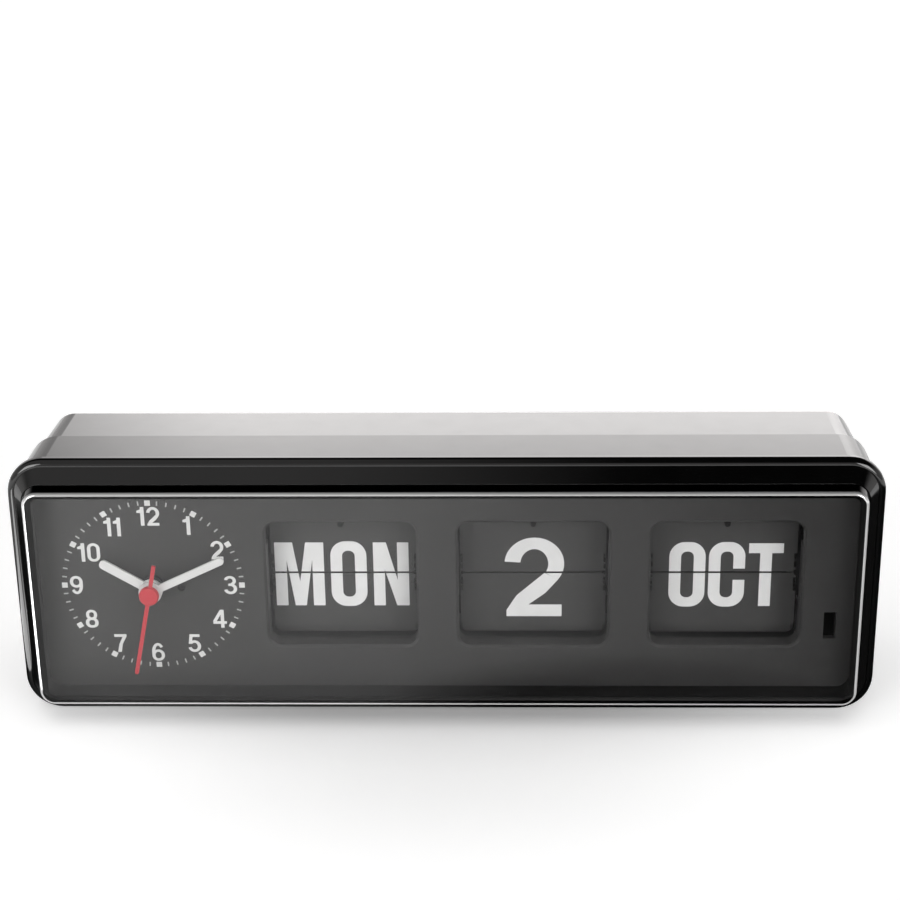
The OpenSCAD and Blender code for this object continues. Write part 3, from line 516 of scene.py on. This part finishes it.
lens_where = add_node(lens_tree, "TexCoord")
lens_faces = wired(lens_tree, "SeparateXYZ", lens_where.outputs["Normal"]).node
to_front = wired(lens_tree, "Math", lens_faces.outputs["Y"], operation="ABSOLUTE")
not_clear = stepped(lens_tree, to_front, (wall_turn[0], 0), (wall_turn[1], 1),
                    (front_turn[0], 1), (front_turn[1], 0))
painted_edge_level = stepped(lens_tree, to_front, (wall_turn[0], 1), (wall_turn[1], painted_wall_shade),
                     (edge_turn[0], painted_wall_shade), (edge_turn[1], painted_edge_highlight))
# Painted shade: the edge's colour darkens the more it faces up
top_edge_shade = wired(lens_tree, "Math", lens_faces.outputs["Z"], operation="MULTIPLY_ADD", use_clamp=True)
top_edge_shade.node.inputs[1].default_value = -painted_top_edge_shade
top_edge_shade.node.inputs[2].default_value = 1.0
painted_edge_colour = wired(lens_tree, "Math", painted_edge_level, top_edge_shade, operation="MULTIPLY")
clear_part = add_node(lens_tree, "Math", operation="SUBTRACT")
clear_part.inputs[0].default_value = 1.0
lens_tree.links.new(not_clear, clear_part.inputs[1])
shine_part = wired(lens_tree, "Math", not_clear, operation="MULTIPLY")
shine_part.node.inputs[1].default_value = edge_shine
lens_tree.links.new(painted_edge_colour, acrylic.inputs["Base Color"])
lens_tree.links.new(clear_part.outputs[0], acrylic.inputs["Transmission Weight"])
lens_tree.links.new(shine_part, acrylic.inputs["Metallic"])
lamp_ray = add_node(lens_tree, "LightPath")
let_through = add_node(lens_tree, "BsdfTransparent")
lens_mix = add_node(lens_tree, "MixShader")
lens_tree.links.new(lamp_ray.outputs["Is Shadow Ray"], lens_mix.inputs["Fac"])
lens_tree.links.new(acrylic.outputs["BSDF"], lens_mix.inputs[1])
lens_tree.links.new(let_through.outputs["BSDF"], lens_mix.inputs[2])
lens_tree.links.new(lens_mix.outputs["Shader"], lens_tree.nodes["Material Output"].inputs["Surface"])
dress(lens_clear, "lens")

# Bezel: a gloss black frame with a rolled rim and a plain slope up to the lens, snapped on to the
# front shell over the lens flange.
bezel_black = (0.0015, 0.0015, 0.0015)
bezel_gloss = finish_of("bezel_gloss", bezel_black, gloss=(0.05, 0.08), skin=(16, 0.008), IOR=1.62)
dress(bezel_gloss, "front_bezel")

# Cell: one AA cell in a graphite sleeve with a pale band at the plus end, and bare plated steel at both
# ends. It lies in the tray between the two contacts.
sleeve_dark, sleeve_pale, plated_grey = 0.028, 0.45, 0.58
# The part of the length where the band starts, the width of its edge, and how far a face of an end turns
band_start, band_edge = 0.74, 0.005
end_turn = (0.5, 0.6)
cell_low, cell_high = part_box("battery")
cell_finish = finish_of("cell_finish", (sleeve_dark,) * 3, gloss=(0.24, 0.34), skin=(6, 0.01), patch_mm=14)
cell_tree = cell_finish.node_tree
cell_where = add_node(cell_tree, "TexCoord")
cell_along = wired(cell_tree, "SeparateXYZ", cell_where.outputs["Object"])
cell_part = wired(cell_tree, "MapRange", cell_along, From_Min=cell_low.x, From_Max=cell_high.x)
sleeve = stepped(cell_tree, cell_part, (band_start, sleeve_dark), (band_start + band_edge, sleeve_pale))
cell_side = wired(cell_tree, "SeparateXYZ", cell_where.outputs["Normal"])
cell_turn = wired(cell_tree, "Math", cell_side, operation="ABSOLUTE")
cell_end = stepped(cell_tree, cell_turn, (end_turn[0], 0), (end_turn[1], 1))
cell_shader = cell_tree.nodes["Principled BSDF"]
cell_tone = add_node(cell_tree, "Mix", data_type="RGBA", B=(plated_grey, plated_grey, plated_grey, 1))
cell_tree.links.new(cell_end, cell_tone.inputs["Factor"])
cell_tree.links.new(sleeve, cell_tone.inputs["A"])
cell_tree.links.new(cell_tone.outputs["Result"], cell_shader.inputs["Base Color"])
cell_tree.links.new(cell_end, cell_shader.inputs["Metallic"])
dress(cell_finish, "battery")

# Back fittings: the fluted setting knob in dark grey plastic, the pull-off battery door with the same
# matt texture as the back round it, and four soft rubber feet pressed on underneath.
knob_grey = (0.040, 0.040, 0.042)
rubber_black = (0.018, 0.018, 0.018)
knob_satin = finish_of("knob_satin", knob_grey, gloss=(0.28, 0.38), skin=(2, 0.01))
dress(knob_satin, "set_knob")
door_matt = finish_of("door_matt", back_black, gloss=texture_shine, skin=(0.35, 0.003), drift=0.1,
                      patch_mm=texture_patch_mm)
dress(door_matt, "battery_door")
foot_rubber = finish_of("foot_rubber", rubber_black, gloss=(0.6, 0.75), skin=(0.3, 0.01))
dress(foot_rubber, "foot_pads")

# Case screws: four zinc-plated pan-head screws with a cross recess, which cut their own thread in the
# posts of the front shell and hold the two shells together.
zinc_grey = (0.56, 0.57, 0.58)
head_radius_mm, head_rim_mm, head_high_mm = 2.75, 0.8, 1.4
recess_half_mm, recess_arm_mm, recess_deep_mm = 1.5, 0.42, 0.8
shank_mm, thread_rise_mm, thread_pitch_mm = 1.02, 0.36, 1.1
round_steps, thread_steps = 36, 8
# The ring of points that shapes the head, and the tip, as parts of the head's and the shank's radius
dome_ring, tip_part = 0.8, 0.4
screw_low, screw_high = (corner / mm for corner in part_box("case_screws"))
cad_head_radius_mm = 2.8
turns = [2 * math.pi * k / round_steps for k in range(round_steps)]


def cross_head_screw(shape, x, z):
    """Adds one screw, with its head towards the back, to a bmesh."""
    def vertex(across, up, y):
        return shape.verts.new(((x + across) * mm, y * mm, (z + up) * mm))

    def band(ring, next_ring):
        for k in range(round_steps):
            n = (k + 1) % round_steps
            shape.faces.new((ring[k], ring[n], next_ring[n], next_ring[k]))

    a, h = recess_arm_mm, recess_half_mm
    arm = [(h, -a), (h, a), (a, a)]
    cross = [(c * p - s * q, s * p + c * q) for c, s in ((1, 0), (0, 1), (-1, 0), (0, -1)) for p, q in arm]
    outline = [(head_radius_mm * math.cos(t), head_radius_mm * math.sin(t)) for t in turns]
    inside = [(dome_ring * px, dome_ring * pz) for px, pz in outline]
    points = [Vector(q) for q in outline + cross + inside]
    loops = [list(range(round_steps)), list(range(round_steps, round_steps + len(cross)))]
    flat, _, triangles, _, _, owners = delaunay_2d_cdt(points, [], loops, 1, weld_mm)
    crown = screw_high.y
    dome = [vertex(q.x, q.y, crown - head_rim_mm * (q.length / head_radius_mm) ** 3) for q in flat]
    recess = []
    for triangle, owner in zip(triangles, owners):
        top = shape.faces.new([dome[k] for k in triangle])
        if 1 in owner:
            recess.append(top)
    socket = bmesh.ops.extrude_face_region(shape, geom=recess)["geom"]
    bmesh.ops.delete(shape, geom=recess, context="FACES")
    bmesh.ops.translate(shape, verts=[v for v in socket if isinstance(v, bmesh.types.BMVert)],
                        vec=(0, -recess_deep_mm * mm, 0))
    ring = [min(dome, key=lambda v: (v.co - Vector(((x + px) * mm, v.co.y, (z + pz) * mm))).length)
            for px, pz in outline]
    seat = crown - head_high_mm
    rows = round((seat - screw_low.y) / thread_pitch_mm * thread_steps)
    rings = [(seat, lambda t: head_radius_mm), (seat, lambda t: shank_mm)]
    for row in range(1, rows + 1):
        taper = min(1.0, (rows - row) / thread_steps / 2)

        def ridge(t, row=row, taper=taper):
            # The ridge takes the middle half of the pitch
            phase = (row / thread_steps + t / (2 * math.pi)) % 1
            core = shank_mm * (tip_part + (1 - tip_part) * taper)
            return core + taper * thread_rise_mm * max(0, 1 - abs(phase - 0.5) * 4)
        rings.append((seat - (seat - screw_low.y) * row / rows, ridge))
    for y, radius in rings:
        lower = [vertex(radius(t) * math.cos(t), radius(t) * math.sin(t), y) for t in turns]
        band(ring, lower)
        ring = lower
    shape.faces.new(ring)


screws = bmesh.new()
for x in (screw_low.x + cad_head_radius_mm, screw_high.x - cad_head_radius_mm):
    for z in (screw_low.z + cad_head_radius_mm, screw_high.z - cad_head_radius_mm):
        cross_head_screw(screws, x, z)
bmesh.ops.recalc_face_normals(screws, faces=screws.faces[:])
shell_screws = piece_from("shell_screws", screws)
zinc_plate = finish_of("zinc_plate", zinc_grey, gloss=(0.2, 0.32), skin=(0.3, 0.003), drift=0.12,
                       patch_mm=1.5, Metallic=1.0)
shell_screws.data.materials.append(zinc_plate)
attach(shell_screws, "case")
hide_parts("case_screws")

# Studio: a white table top that runs out of sight, a wide bright wall behind the clock that fades to
# the left, a dim ceiling, soft boxes in front and overhead, and a low strip that draws the bezel's rim.
floor_white = (0.86, 0.86, 0.86)
floor_half_m = 6.0
# The table glows for the camera and in reflections: less in an oval close to the clock, as a painted shadow
# round it, more far away
floor_glow = 0.36
shadow_oval_half_sizes, shadow_oval_glow = (0.115, 0.105), 0.07
far_half_sizes, far_glow = (1.2, 1.2), 0.28
# The table is darker in reflections from the left to the right of the clock's front, and in soft ovals:
# the place, the turn in degrees, the half sizes and the depth
shade_from, shade_to, shade_least = -0.03, 0.105, 0.35
shade_place, shade_half_sizes = (0.05, -0.1), (0.45, 0.35)
mirror_shades = (
    ((0.0, -0.02), 0, (0.17, 0.06), 0.35),
    ((0.06, -0.03), 0, (0.11, 0.06), 1.0),
    ((-0.16, 0.025), -42, (0.13, 0.055), 1.0),
    ((0.166, 0.022), 29, (0.13, 0.055), 1.0),
)
floor_mesh = bpy.data.meshes.new("table_top")
floor_corners = [(x * floor_half_m, y * floor_half_m, 0) for x, y in ((-1, -1), (1, -1), (1, 1), (-1, 1))]
floor_mesh.from_pydata(floor_corners, [], [(0, 1, 2, 3)])
table_top = bpy.data.objects.new("table_top", floor_mesh)
bpy.context.scene.collection.objects.link(table_top)
table_white = finish_of("table_white", floor_white, gloss=(0.68, 0.72), skin=(4, 0.0004), drift=0.005,
                        patch_mm=200, Specular_IOR_Level=0.2)
table_top.data.materials.append(table_white)
table_tree = table_white.node_tree
table_shader = table_tree.nodes["Principled BSDF"]
seen = add_node(table_tree, "LightPath")
table_where = add_node(table_tree, "TexCoord")


def table_spot(place, turn, half_sizes, full_at, middle, rim):
    """A soft oval on the table that goes from one level in the middle to another at its rim."""
    spot_at = add_node(table_tree, "Mapping", vector_type="TEXTURE", Location=(*place, 0),
                       Rotation=(0, 0, math.radians(turn)), Scale=(*half_sizes, 1))
    table_tree.links.new(table_where.outputs["Object"], spot_at.inputs["Vector"])
    fading = wired(table_tree, "TexGradient", spot_at.outputs[0], gradient_type="SPHERICAL").node
    soft = add_node(table_tree, "MapRange", interpolation_type="SMOOTHSTEP", From_Max=full_at,
                    To_Min=rim, To_Max=middle)
    table_tree.links.new(fading.outputs["Fac"], soft.inputs["Value"])
    return soft.outputs["Result"]


table_across = wired(table_tree, "SeparateXYZ", table_where.outputs["Object"])
rightwards = wired(table_tree, "MapRange", table_across, From_Min=shade_from, From_Max=shade_to,
                   To_Min=shade_least)
in_front = table_spot(shade_place, 0, shade_half_sizes, full_at=0.3, middle=1.0, rim=0.0)
mirror_shade = wired(table_tree, "Math", rightwards, in_front, operation="MULTIPLY")
for place, turn, half_sizes, depth in mirror_shades:
    shade = table_spot(place, turn, half_sizes, full_at=0.6, middle=depth, rim=0.0)
    mirror_shade = wired(table_tree, "Math", mirror_shade, shade, operation="MAXIMUM")
mirrored = wired(table_tree, "Math", mirror_shade, seen.outputs["Is Glossy Ray"], operation="MULTIPLY")
lit_part = add_node(table_tree, "Math", operation="SUBTRACT")
lit_part.inputs[0].default_value = 1.0
table_tree.links.new(mirrored, lit_part.inputs[1])
either = wired(table_tree, "Math", seen.outputs["Is Camera Ray"], seen.outputs["Is Glossy Ray"],
               operation="MAXIMUM")
any_of = wired(table_tree, "Math", either, seen.outputs["Is Transmission Ray"], operation="MAXIMUM")
glow = wired(table_tree, "Math", any_of, lit_part.outputs[0], operation="MULTIPLY")
# Painted shadow: the glow drops in the oval close to the clock
shadow_oval_part = table_spot((0, 0), 0, shadow_oval_half_sizes, full_at=0.75, middle=shadow_oval_glow, rim=floor_glow)
far_part = table_spot((0, 0), 0, far_half_sizes, full_at=0.9, middle=0.0, rim=far_glow)
glow_here = wired(table_tree, "Math", shadow_oval_part, far_part, operation="ADD")
glow_level = wired(table_tree, "Math", glow, glow_here, operation="MULTIPLY")
table_shader.inputs["Emission Color"].default_value = (1, 1, 1, 1)
table_tree.links.new(glow_level, table_shader.inputs["Emission Strength"])
table_colour = table_shader.inputs["Base Color"].links[0].from_socket
shaded = add_node(table_tree, "Mix", data_type="RGBA", blend_type="MULTIPLY")
shaded.inputs["Factor"].default_value = 1.0
table_tree.links.new(table_colour, shaded.inputs["A"])
table_tree.links.new(lit_part.outputs[0], shaded.inputs["B"])
table_tree.links.new(shaded.outputs["Result"], table_shader.inputs["Base Color"])


def soft_box(name, place, look_at, wide_m, high_m, watts):
    """A rectangular lamp that faces a point."""
    lamp = bpy.data.lights.new(name, "AREA")
    lamp.shape = "RECTANGLE"
    lamp.size, lamp.size_y = wide_m, high_m
    lamp.energy = watts
    made = bpy.data.objects.new(name, lamp)
    made.location = place
    made.rotation_euler = (Vector(look_at) - Vector(place)).to_track_quat("-Z", "Y").to_euler()
    bpy.context.scene.collection.objects.link(made)
    return made


clock_middle = (0, 0, 0.03)
soft_box("left_box", (-0.75, -1.0, 0.45), clock_middle, wide_m=0.6, high_m=0.6, watts=5.8)
soft_box("right_box", (0.8, -1.0, 0.45), clock_middle, wide_m=0.6, high_m=0.6, watts=6.2)
top_box = soft_box("top_box", (0, -0.15, 1.3), clock_middle, wide_m=1.6, high_m=1.2, watts=8.0)
top_box.visible_glossy = False
strip_place, strip_looks_at = (-0.183, -0.083, 0.004), (-0.183, -0.083, 1.0)
strip_turn = math.radians(-40.5)
rim_strip = soft_box("rim_strip", strip_place, strip_looks_at, wide_m=0.06, high_m=0.17, watts=0.16)
rim_strip.rotation_euler.z += strip_turn
rim_strip.visible_diffuse = False
rim_strip.visible_camera = False

# The room by direction: its walls by height, the ceiling in front and to the left, and the bright wall
# behind by height and by side. A span is the part of a direction over which a level changes
wall_level, ceiling_level, bright_level = 0.6, 0.42, 3.3
bright_left_level, bright_right_level = 0.08, 0.3
walls_end = (0.25, 0.62)
ceiling_across, ceiling_back = (-0.14, 0.08), (0.05, 0.35)
bright_up, bright_back = (0.30, 0.55), (0.45, 0.75)
bright_left, bright_right = (-0.34, -0.13), (0.25, 0.48)
room_tint = (1.0, 0.98, 0.972)
world = bpy.data.worlds.new("studio_room")
world.use_nodes = True
bpy.context.scene.world = world
room = world.node_tree
room_way = add_node(room, "TexCoord")
room_axes = add_node(room, "SeparateXYZ")
room.links.new(room_way.outputs["Generated"], room_axes.inputs["Vector"])


def ranged(part, span, low, high):
    """A smooth step, over a span of a direction's part, from one level to another."""
    return wired(room, "MapRange", part, interpolation_type="SMOOTHSTEP", From_Min=span[0],
                 From_Max=span[1], To_Min=low, To_Max=high)


side_slope = wired(room, "Math", room_axes.outputs["X"], room_axes.outputs["Y"], operation="DIVIDE")
low_walls = ranged(room_axes.outputs["Z"], walls_end, wall_level, 0.0)
high_up = ranged(room_axes.outputs["Z"], walls_end, 0.0, 1.0)
ceiling_side = ranged(room_axes.outputs["X"], ceiling_across, ceiling_level, 0.0)
ceiling_front = ranged(room_axes.outputs["Y"], ceiling_back, 1.0, 0.0)
ceiling_patch = wired(room, "Math", ceiling_side, ceiling_front, operation="MULTIPLY")
ceiling = wired(room, "Math", high_up, ceiling_patch, operation="MULTIPLY")
wall_height = ranged(room_axes.outputs["Z"], bright_up, bright_level, 0.0)
wall_behind = ranged(room_axes.outputs["Y"], bright_back, 0.0, 1.0)
wall_left = ranged(side_slope, bright_left, bright_left_level, 1.0)
wall_right = ranged(side_slope, bright_right, 1.0, bright_right_level)
wall_sides = wired(room, "Math", wall_left, wall_right, operation="MULTIPLY")
wall_spread = wired(room, "Math", wall_behind, wall_sides, operation="MULTIPLY")
bright_wall = wired(room, "Math", wall_height, wall_spread, operation="MULTIPLY")
plain_room = wired(room, "Math", low_walls, ceiling, operation="ADD")
room_total = wired(room, "Math", plain_room, bright_wall, operation="ADD")
room.links.new(room_total, room.nodes["Background"].inputs["Strength"])
room.nodes["Background"].inputs["Color"].default_value = (*room_tint, 1)

# Camera: a long lens at the photograph's place and angle, worked out from the hour ring, the windows
# and the outline of the clear cover.
lens_px = 1949.7
picture_px = 900
film_mm = 36.0
camera_place = (0.0169, -0.45128, 0.2409)
pitch, yaw, roll = math.radians(21.48), math.radians(-2.01), math.radians(-0.86)
ahead = Vector((math.sin(yaw) * math.cos(pitch), math.cos(yaw) * math.cos(pitch), -math.sin(pitch)))
level = Vector((math.cos(yaw), -math.sin(yaw), 0))
upright = level.cross(ahead)
across = math.cos(roll) * level + math.sin(roll) * upright
upward = math.cos(roll) * upright - math.sin(roll) * level
camera_data = bpy.data.cameras.new("photo_camera")
camera_data.sensor_width = film_mm
camera_data.lens = film_mm * lens_px / picture_px
camera = bpy.data.objects.new("photo_camera", camera_data)
camera_axes = Matrix((across, upward, -ahead)).transposed()
camera.matrix_world = Matrix.Translation(camera_place) @ camera_axes.to_4x4()
bpy.context.scene.collection.objects.link(camera)
bpy.context.scene.camera = camera
bpy.context.scene.view_settings.view_transform = "Standard"
